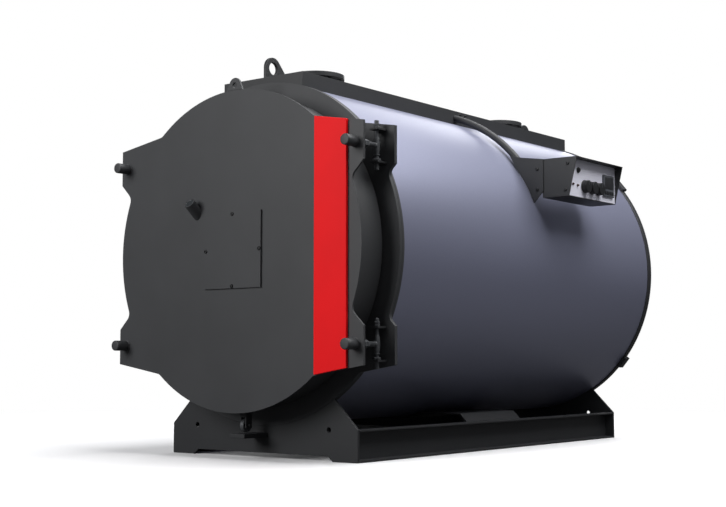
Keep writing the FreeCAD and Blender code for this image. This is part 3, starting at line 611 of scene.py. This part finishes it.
class BOILER_OT_hinges(bpy.types.Operator):
    """Rods with their nuts, eye bolts and lugs: hinges on the right, clamps on the left"""
    bl_idname = "boiler.hinges"
    bl_label = "Hinges and clamps"

    def execute(self, context):
        for kind, bolt_body in (("hinge", "front_door"), ("clamp", "boiler")):
            softened(f"{kind}_lugs", f"{kind}_tabs", "frame", sizes().plate_edge)
            self.rods(kind)
            self.eye_bolts(kind, bolt_body)
        return {"FINISHED"}

    def rods(self, kind):
        """Two nuts over each rod's upper lug, one on its lower lug, and a collar under the eye."""
        bm = bmesh.new()
        corner, height = sizes().nut_corner, sizes().nut_height
        slim, thin, step = 0.72 * corner, 0.7 * height, 0.8 * height
        collar_height = 5 * MM
        lugs, eyes = solids(f"{kind}_tabs"), solids(f"{kind}_eye_bolts")
        for index, (low, high) in enumerate(solids(f"{kind}_rods")):
            middle = (low + high) / 2
            lower_lug, upper_lug = lugs[2 * index][1].z, lugs[2 * index + 1][1].z
            pin(bm, ROD_RADIUS, high.z - low.z, at((middle.x, middle.y, low.z)), 1.5 * MM)
            for base, around, tall in ((upper_lug, slim, thin), (upper_lug + step, slim, thin),
                                       (lower_lug, corner, 0.75 * height)):
                hexagon(bm, around, tall, at((middle.x, middle.y, base)))
            collar_top = eyes[index][0].z - 1 * MM
            pin(bm, ROD_RADIUS + 3.5 * MM, collar_height,
                at((middle.x, middle.y, collar_top - collar_height)), 0.8 * MM)
        finish(f"{kind}_rods_and_nuts", bm, "steel", "boiler", [f"{kind}_rods"],
               bevel=0.5 * MM)

    def eye_bolts(self, kind, body):
        """Forged eyes with a threaded shank, and a spacer and two nuts behind the door's ear."""
        bm = bmesh.new()
        door_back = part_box("door_plate")[1].y
        neck, collar = 18 * MM, BOLT_RADIUS + 1 * MM
        spacer = 34 * MM
        nuts = ((spacer, 14 * MM), (spacer + 16 * MM, 9 * MM))
        for low, high in solids(f"{kind}_eye_bolts"):
            across, up = (low.x + high.x) / 2, (low.z + high.z) / 2
            eye, half = (high.x - low.x) / 2, (high.z - low.z) / 2
            along = high.y - eye
            shoulder, cheek = eye - 1.5 * MM, eye - 3 * MM
            turned(bm, [(EYE_BORE, -half), (cheek, -half), (shoulder, -0.8 * half),
                        (eye, -0.4 * half), (eye, 0.4 * half), (shoulder, 0.8 * half),
                        (cheek, half), (EYE_BORE, half)],
                   at((across, along, up)), 40, closed=True)
            turned(bm, [(0, EYE_BORE), (collar, EYE_BORE), (collar, eye + 2 * MM),
                        (BOLT_RADIUS, neck), (0, neck)], at((across, along, up), FORWARD), 32)
            thread(bm, BOLT_RADIUS, along - neck - low.y, sizes().thread_pitch,
                   at((across, along - neck, up), FORWARD))
            gap = 2 * MM
            pin(bm, BOLT_RADIUS + 2.5 * MM, spacer - gap, at((across, door_back + gap, up), BACK),
                0.8 * MM)
            for start, tall in nuts:
                hexagon(bm, sizes().nut_corner, tall, at((across, door_back + start, up), BACK))
        finish(f"{kind}_forged_eye_bolts", bm, "steel", body, [f"{kind}_eye_bolts"],
               bevel=0.4 * MM)


class BOILER_OT_door_roller(bpy.types.Operator):
    """The fork, wheel and shelf that take the closed door's weight"""
    bl_idname = "boiler.door_roller"
    bl_label = "Door roller"

    def execute(self, context):
        edge = sizes().plate_edge
        softened("roller_fork_frame", "roller_fork", "frame", 0.7 * edge)
        softened("roller_shelf_plate", "roller_shelf", "frame", edge)
        middle, low, high = span("support_roller")
        radius, half = (high.z - low.z) / 2, (high.x - low.x) / 2
        bore, chamfer, recess = 5.15 * MM, 1.5 * MM, 2 * MM
        hub, web, rim = 0.45 * radius, (0.5 * radius, 0.8 * radius), 0.86 * radius
        near_side = [(bore, -half), (hub, -half), (web[0], -half + recess),
                     (web[1], -half + recess), (rim, -half), (radius - chamfer, -half),
                     (radius, -half + chamfer)]
        far_side = [(across, -along) for across, along in reversed(near_side)]
        bm = bmesh.new()
        turned(bm, near_side + far_side, at(middle, RIGHT), 48, closed=True)
        finish("roller_wheel_rim", bm, "steel", "roller_wheel", ["support_roller"])
        return {"FINISHED"}


# ---- barrel

def cut_away(bm, tools):
    """Take tools, a second bmesh, out of bm with a Boolean modifier, and hand back the result."""
    pair = []
    for name, shape in (("blank", bm), ("drill", tools)):
        mesh = bpy.data.meshes.new(name)
        shape.to_mesh(mesh)
        shape.free()
        pair.append(bpy.data.objects.new(name, mesh))
        bpy.context.scene.collection.objects.link(pair[-1])
    blank, drill = pair
    difference = blank.modifiers.new("holes", "BOOLEAN")
    difference.operation = "DIFFERENCE"
    difference.object = drill
    difference.solver = "EXACT"
    bpy.context.view_layer.update()
    result = bmesh.new()
    result.from_object(blank, bpy.context.evaluated_depsgraph_get())
    for thing in pair:
        mesh = thing.data
        bpy.data.objects.remove(thing)
        bpy.data.meshes.remove(mesh)
    return result


TUBE_ROWS = ((0.340, 22), (0.430, 28), (0.520, 34))  # radius and number of tubes


def tube_places():
    """Front end of each smoke tube, in rows about the furnace."""
    middle, low, _ = span("front_flange")
    for radius, count in TUBE_ROWS:
        for index in range(count):
            angle = tau * (index + 0.5) / count
            yield Vector((middle.x + radius * cos(angle), low.y, middle.z + radius * sin(angle)))


class BOILER_OT_front_flange(bpy.types.Operator):
    """The drilled front flange, the smoke tubes' ends and the furnace"""
    bl_idname = "boiler.front_flange"
    bl_label = "Front flange"

    def execute(self, context):
        _, low, high = span("front_flange")
        thick = high.y - low.y
        radius, wall, depth = sizes().tube_radius, sizes().tube_wall, sizes().tube_depth
        inner, outer, proud = radius - wall, radius - 0.3 * MM, 2 * MM
        blank = bmesh.new()
        blank.from_mesh(frame["nodes"]["front_flange"].data)
        bmesh.ops.remove_doubles(blank, verts=blank.verts, dist=WELD)
        drills, tubes = bmesh.new(), bmesh.new()
        for place in tube_places():
            pin(drills, radius, 3 * thick, at(place + thick * FORWARD, BACK), 0.1 * MM, 20)
            turned(tubes, [(inner, -proud), (outer, -proud), (outer, depth), (0, depth),
                           (0, depth - wall), (inner, depth - wall)],
                   at(place, BACK), 20, closed=True)
        finish("drilled_front_flange", cut_away(blank, drills), "door", "boiler",
               ["front_flange"], bevel=sizes().plate_edge)
        finish("smoke_tubes", tubes, "soot", "boiler")
        painted("furnace_tube", "soot")
        painted("furnace_end", "refractory")
        return {"FINISHED"}


def hoop(name, node, material, edge):
    """A round wall about the boiler's axis, turned afresh from a CAD node's own sizes."""
    middle, low, high = span(node)
    outer = (high.x - low.x) / 2
    corners = [vertex.co - middle for vertex in frame["nodes"][node].data.vertices]
    inner = min((corner.x ** 2 + corner.z ** 2) ** 0.5 for corner in corners)
    hollow = inner > 1 * MM
    length = high.y - low.y
    outline = [(inner, 0), (outer - edge, 0), (outer, edge), (outer, length - edge),
               (outer - edge, length), (inner, length)]
    bm = bmesh.new()
    turned(bm, outline, at((middle.x, low.y, middle.z), BACK), sizes().jacket_steps, closed=hollow)
    return finish(name, bm, material, body_of(node), [node])


class BOILER_OT_jacket(bpy.types.Operator):
    """The jacket, the band at each of its ends and the four clips on the rear band"""
    bl_idname = "boiler.jacket"
    bl_label = "Jacket"

    def execute(self, context):
        hoop("jacket_shell", "jacket", "jacket", 0.5 * MM)
        hoop("front_end_band", "front_band", "door", 2 * MM)
        hoop("rear_end_band", "rear_band", "frame", 2.5 * MM)
        softened("rear_band_clips", "rear_clips", "frame", sizes().plate_edge)
        return {"FINISHED"}


STUDS = 16  # round the smokebox


class BOILER_OT_rear_end(bpy.types.Operator):
    """The rear plate, the smokebox with its ring of studs, and the flue spigot"""
    bl_idname = "boiler.rear_end"
    bl_label = "Rear end"

    def execute(self, context):
        painted("rear_plate", "frame")
        hoop("smokebox_shell", "smokebox", "frame", 4 * MM)
        hoop("flue_spigot_tube", "flue_spigot", "frame", 0.8 * MM)
        middle, low, high = span("smokebox")
        bm = bmesh.new()
        reach = (high.x - low.x) / 2 - 30 * MM
        washer = 2 * MM
        for index in range(STUDS):
            angle = tau * (index + 0.5) / STUDS
            place = Vector((middle.x + reach * cos(angle), high.y, middle.z + reach * sin(angle)))
            pin(bm, 13 * MM, washer, at(place, BACK), 0.4 * MM, 24)
            hexagon(bm, 11 * MM, 8 * MM, at(place + washer * BACK, BACK))
            pin(bm, 5 * MM, 16 * MM, at(place, BACK), 0.8 * MM, 16)
        finish("smokebox_studs", bm, "steel", "boiler", bevel=0.4 * MM)
        return {"FINISHED"}


# ---- skid, rail and pipework

class BOILER_OT_skid(bpy.types.Operator):
    """The skid's end plates, cross member and beams, and the saddle under the barrel"""
    bl_idname = "boiler.skid"
    bl_label = "Skid"

    def execute(self, context):
        for node in ("skid_front_plate", "skid_middle_plate", "skid_rear_plate", "skid_beam_left",
                     "skid_beam_right", "saddle"):
            softened(f"{node}_cut", node, "frame", sizes().plate_edge)
        return {"FINISHED"}


RAIL_SCREWS = (42 * MM, 84 * MM)  # behind the middle of the control arm
RAIL_SCREW_DROP = 14 * MM


class BOILER_OT_top_rail(bpy.types.Operator):
    """The folded cover along the crest, with two screws by the control arm"""
    bl_idname = "boiler.top_rail"
    bl_label = "Top rail"

    def execute(self, context):
        softened("top_rail_cover", "top_rail", "frame", sizes().sheet_edge)
        _, _, high = span("top_rail")
        arm = span("control_arm")[0].y
        bm = bmesh.new()
        for along in RAIL_SCREWS:
            screw(bm, at((high.x, arm + along, high.z - RAIL_SCREW_DROP), RIGHT))
        finish("top_rail_screws", bm, "screws", "boiler")
        return {"FINISHED"}


class BOILER_OT_nozzles(bpy.types.Operator):
    """The two pipe flanges on the crest"""
    bl_idname = "boiler.nozzles"
    bl_label = "Pipe flanges"

    def execute(self, context):
        for node in ("flow_nozzle", "return_nozzle"):
            softened(f"{node}_flange", node, "frame", sizes().plate_edge)
        return {"FINISHED"}


class BOILER_OT_lifting_lugs(bpy.types.Operator):
    """The two lifting eyes on the crest"""
    bl_idname = "boiler.lifting_lugs"
    bl_label = "Lifting lugs"

    def execute(self, context):
        for node in ("front_lifting_lug", "rear_lifting_lug"):
            softened(f"{node}_eye", node, "frame", 1.2 * sizes().plate_edge)
        return {"FINISHED"}


# ---- control box

# Places of the small parts, measured from the control box's near lower corner.
BRACKET_SCREW_INSET = 24 * MM
BRACKET_SCREWS = (38 * MM, 128 * MM)
BOX_SCREWS = ((112 * MM, 28 * MM), (124 * MM, 142 * MM))
LAMPS = ((33 * MM, 55 * MM), (75 * MM, 53 * MM))
PUSH_BUTTON = (81 * MM, 120 * MM)


class BOILER_OT_control_arm(bpy.types.Operator):
    """The bent tube from the rail and the plate that it holds"""
    bl_idname = "boiler.control_arm"
    bl_label = "Control arm"

    def execute(self, context):
        softened("control_arm_tube", "control_arm", "frame", bevel=0)
        softened("control_arm_plate", "arm_bracket", "frame", bevel=0.8 * MM)
        _, corner, _ = span("control_box")
        face = span("arm_bracket")[1].y
        bm = bmesh.new()
        for rise in BRACKET_SCREWS:
            screw(bm, at((corner.x - BRACKET_SCREW_INSET, face, corner.z + rise), FORWARD))
        finish("control_arm_screws", bm, "screws", "boiler")
        return {"FINISHED"}


class BOILER_OT_control_box(bpy.types.Operator):
    """The control box, its pale front sheet and the screws in its near end"""
    bl_idname = "boiler.control_box"
    bl_label = "Control box"

    def execute(self, context):
        softened("control_box_case", "control_box", "frame", bevel=1.2 * MM)
        softened("control_panel_sheet", "control_panel", "panel", bevel=0.5 * MM)
        _, corner, _ = span("control_box")
        bm = bmesh.new()
        for across, rise in BOX_SCREWS:
            screw(bm, at((corner.x + across, corner.y, corner.z + rise), FORWARD))
        finish("control_box_screws", bm, "screws", "boiler")
        return {"FINISHED"}


# The gland's body and domed cap, as shares of its radius and its length.
GLAND = ((0, 0.3), (0.7, 0.3), (0.7, 0.38), (0.95, 0.42), (0.95, 0.72), (0.8, 0.9), (0.5, 1),
         (0.35, 0.96), (0, 0.9))


class BOILER_OT_panel_controls(bpy.types.Operator):
    """Lamps, a push button, three thermostat dials, the square controller and the cable gland"""
    bl_idname = "boiler.panel_controls"
    bl_label = "Panel controls"

    def execute(self, context):
        corner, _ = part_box("control_box")
        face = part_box("control_panel")[1].x
        self.small_parts(Vector((face, corner.y, corner.z)))
        for name in ("near", "middle", "far"):
            self.dial(name)
        self.controller()
        self.gland()
        return {"FINISHED"}

    def small_parts(self, corner):
        """Two lamps and a push button, each in a round bezel."""
        lamps, button = bmesh.new(), bmesh.new()
        for along, rise in LAMPS:
            turned(lamps, [(0, 0), (6.5 * MM, 0), (6.5 * MM, 2 * MM), (5.2 * MM, 3 * MM),
                           (4.6 * MM, 6 * MM), (2.8 * MM, 8 * MM), (0, 8.6 * MM)],
                   at(corner + Vector((0, along, rise)), RIGHT), 32)
        finish("panel_lamps", lamps, "lens", "boiler")
        turned(button, [(0, 0), (13 * MM, 0), (13 * MM, 3 * MM), (11.5 * MM, 4.5 * MM),
                        (9.5 * MM, 4.5 * MM), (9.5 * MM, 8 * MM), (8 * MM, 9 * MM), (0, 9 * MM)],
               at(corner + Vector((0, *PUSH_BUTTON)), RIGHT), 40)
        finish("panel_push_button", button, "plastic", "boiler")

    def dial(self, name):
        """A knob with a flat skirt, a fluted grip and a pointer line."""
        middle, low, high = span(f"{name}_dial")
        radius, height = (high.y - low.y) / 2, high.x - low.x
        skirt, chamfer = 4 * MM, 1 * MM
        flutes, flute_share = 24, 0.03
        bm = bmesh.new()
        place = at((low.x, middle.y, middle.z), RIGHT)
        turned(bm, [(0, 0), (radius, 0), (radius, skirt), (radius - chamfer, skirt + chamfer),
                    (0, skirt + chamfer)], place, 64)
        grip = bmesh.new()
        bmesh.ops.create_cone(grip, cap_ends=True, segments=4 * flutes, radius1=0.96 * radius,
                              radius2=0.92 * radius, depth=height - skirt)
        bmesh.ops.translate(grip, vec=(0, 0, (height - skirt) / 2 + skirt), verts=grip.verts)
        for vertex in grip.verts:
            turn = (vertex.co.xy.angle_signed(Vector((1, 0)), 0) * flutes) % tau
            squeeze = 1 - flute_share * (1 + cos(turn)) / 2
            vertex.co.x *= squeeze
            vertex.co.y *= squeeze
        merge(bm, grip, place)
        finish(f"{name}_dial_knob", bm, "plastic", f"{name}_thermostat",
               [f"{name}_dial"], bevel=0.5 * MM)
        half_line, sunk, proud = 1 * MM, 0.8 * MM, 0.3 * MM
        line = bmesh.new()
        block(line, (high.x - sunk, middle.y - half_line, middle.z + 0.2 * radius),
              (high.x + proud, middle.y + half_line, middle.z + 0.74 * radius))
        finish(f"{name}_dial_pointer", line, "button", f"{name}_thermostat")

    def controller(self):
        """A square controller: bezel, dark window and a row of four keys."""
        _, low, high = span("temperature_controller")
        bezel = bmesh.new()
        block(bezel, low, high, 1.6 * MM)
        finish("controller_bezel", bezel, "button", "boiler",
               ["temperature_controller"])
        margin, sill, sunk = 9 * MM, 34 * MM, 1 * MM
        window = bmesh.new()
        block(window, (high.x - sunk, low.y + margin, low.z + sill),
              (high.x + 0.6 * MM, high.y - margin, high.z - margin), 0.3 * MM)
        finish("controller_window", window, "screen", "boiler")
        key_pitch, key_width, key_top = 20.5 * MM, 16 * MM, 24 * MM
        keys = bmesh.new()
        for index in range(4):
            start = low.y + margin + index * key_pitch
            block(keys, (high.x - sunk, start, low.z + margin),
                  (high.x + 1.5 * MM, start + key_width, low.z + key_top), 0.7 * MM)
        finish("controller_keys", keys, "plastic", "boiler")

    def gland(self):
        """A cable gland: flange nut, body and domed cap."""
        middle, low, high = span("cable_gland")
        length, radius = high.y - low.y, (high.x - low.x) / 2
        place = at((middle.x, low.y, middle.z), BACK)
        bm = bmesh.new()
        hexagon(bm, radius, 0.3 * length, place)
        turned(bm, [(across * radius, along * length) for across, along in GLAND], place, 32)
        finish("cable_gland_body", bm, "plastic", "boiler", ["cable_gland"])


# ---- stage

FLOOR_HALF_WIDTH = 40
# Name, place in metres, side in metres and watts.
SOFT_BOXES = (
    ("overhead_soft_box", (1.8, 0.3, 4.8), 4.5, 430),
    ("right_soft_box", (5.5, -1.0, 3.4), 3.0, 20),
    ("front_soft_box", (-1.5, -6.5, 3.0), 3.5, 300),
    ("left_soft_box", (-5.5, 1.0, 3.0), 3.0, 70),
    ("rear_soft_box", (-3.2, 6.0, 3.8), 3.5, 170),
)
LIGHTS_AIM = Vector((0, 0, 0.8))
CAMERA_PLACE = (3.578, -5.003, 0.394)
CAMERA_TURN = (radians(94.50), 0, radians(37.70))
CAMERA_LENS, SENSOR_WIDTH = 65.9, 36


class BOILER_OT_stage(bpy.types.Operator):
    """Pale floor, soft studio light and the camera"""
    bl_idname = "boiler.stage"
    bl_label = "Studio stage"

    def execute(self, context):
        scene = bpy.context.scene
        scene.view_settings.view_transform = "Standard"
        self.floor(scene)
        self.world(scene)
        self.lights(scene)
        self.camera(scene)
        return {"FINISHED"}

    def floor(self, scene):
        """A wide floor, set on no body, so that it is no part of the boiler."""
        bm = bmesh.new()
        bmesh.ops.create_grid(bm, x_segments=1, y_segments=1, size=FLOOR_HALF_WIDTH)
        mesh = bpy.data.meshes.new("studio_floor")
        bm.to_mesh(mesh)
        bm.free()
        floor = bpy.data.objects.new("studio_floor", mesh)
        mesh.materials.append(pale_floor("pale_studio_floor", colour("#F6F6F7")))
        scene.collection.objects.link(floor)

    def world(self, scene):
        """White to the camera, a dim even grey to everything else."""
        scene.world = bpy.data.worlds.new("studio_world")
        scene.world.use_nodes = True
        tree = scene.world.node_tree
        seen = add(tree, "ShaderNodeLightPath").outputs["Is Camera Ray"]
        dim = add(tree, "ShaderNodeBackground", {"Color": colour("#C8CAD2"), "Strength": 0.15})
        white = add(tree, "ShaderNodeBackground", {"Color": colour("#FFFFFF"), "Strength": 1.0})
        mixed = add(tree, "ShaderNodeMixShader",
                    {0: seen, 1: dim.outputs["Background"], 2: white.outputs["Background"]})
        tree.links.new(mixed.outputs["Shader"], tree.nodes["World Output"].inputs["Surface"])

    def lights(self, scene):
        """Large soft boxes: overhead, right, front, left and behind."""
        for name, place, size, watts in SOFT_BOXES:
            light = bpy.data.lights.new(name, "AREA")
            light.size = size
            light.energy = watts
            lamp = bpy.data.objects.new(name, light)
            lamp.location = place
            lamp.rotation_euler = (LIGHTS_AIM - Vector(place)).to_track_quat("-Z", "Y").to_euler()
            scene.collection.objects.link(lamp)

    def camera(self, scene):
        camera = bpy.data.objects.new("camera", bpy.data.cameras.new("camera"))
        camera.data.lens = CAMERA_LENS
        camera.data.sensor_width = SENSOR_WIDTH
        camera.location = CAMERA_PLACE
        camera.rotation_euler = CAMERA_TURN
        scene.collection.objects.link(camera)
        scene.camera = camera


# ---- add-on

OPERATORS = (
    BOILER_OT_door_leaf, BOILER_OT_door_seal, BOILER_OT_burner_cover, BOILER_OT_accent_strip,
    BOILER_OT_sight_glass, BOILER_OT_knobs, BOILER_OT_hinges, BOILER_OT_door_roller,
    BOILER_OT_front_flange, BOILER_OT_jacket, BOILER_OT_rear_end, BOILER_OT_skid,
    BOILER_OT_top_rail, BOILER_OT_nozzles, BOILER_OT_lifting_lugs, BOILER_OT_control_arm,
    BOILER_OT_control_box, BOILER_OT_panel_controls, BOILER_OT_stage,
)


class VIEW3D_PT_boiler(bpy.types.Panel):
    """Sizes, colours and pieces of the boiler"""
    bl_idname = "VIEW3D_PT_boiler"
    bl_label = "Hot-water boiler"
    bl_space_type = "VIEW_3D"
    bl_region_type = "UI"
    bl_category = "Boiler"

    def draw(self, context):
        for group in (context.scene.boiler_sizes, context.scene.boiler_colours):
            box = self.layout.box()
            for name in group.__annotations__:
                box.prop(group, name)
        for operator in OPERATORS:
            self.layout.operator(operator.bl_idname)


CLASSES = (BoilerSizes, BoilerColours, *OPERATORS, VIEW3D_PT_boiler)


def register():
    for cls in CLASSES:
        bpy.utils.register_class(cls)
    bpy.types.Scene.boiler_sizes = bpy.props.PointerProperty(type=BoilerSizes)
    bpy.types.Scene.boiler_colours = bpy.props.PointerProperty(type=BoilerColours)


def unregister():
    del bpy.types.Scene.boiler_colours
    del bpy.types.Scene.boiler_sizes
    for cls in reversed(CLASSES):
        bpy.utils.unregister_class(cls)


def main():
    register()
    make_materials(bpy.context.scene.boiler_colours)
    for operator in OPERATORS:
        group, name = operator.bl_idname.split(".")
        getattr(getattr(bpy.ops, group), name)()


if __name__ == "__main__":
    main()
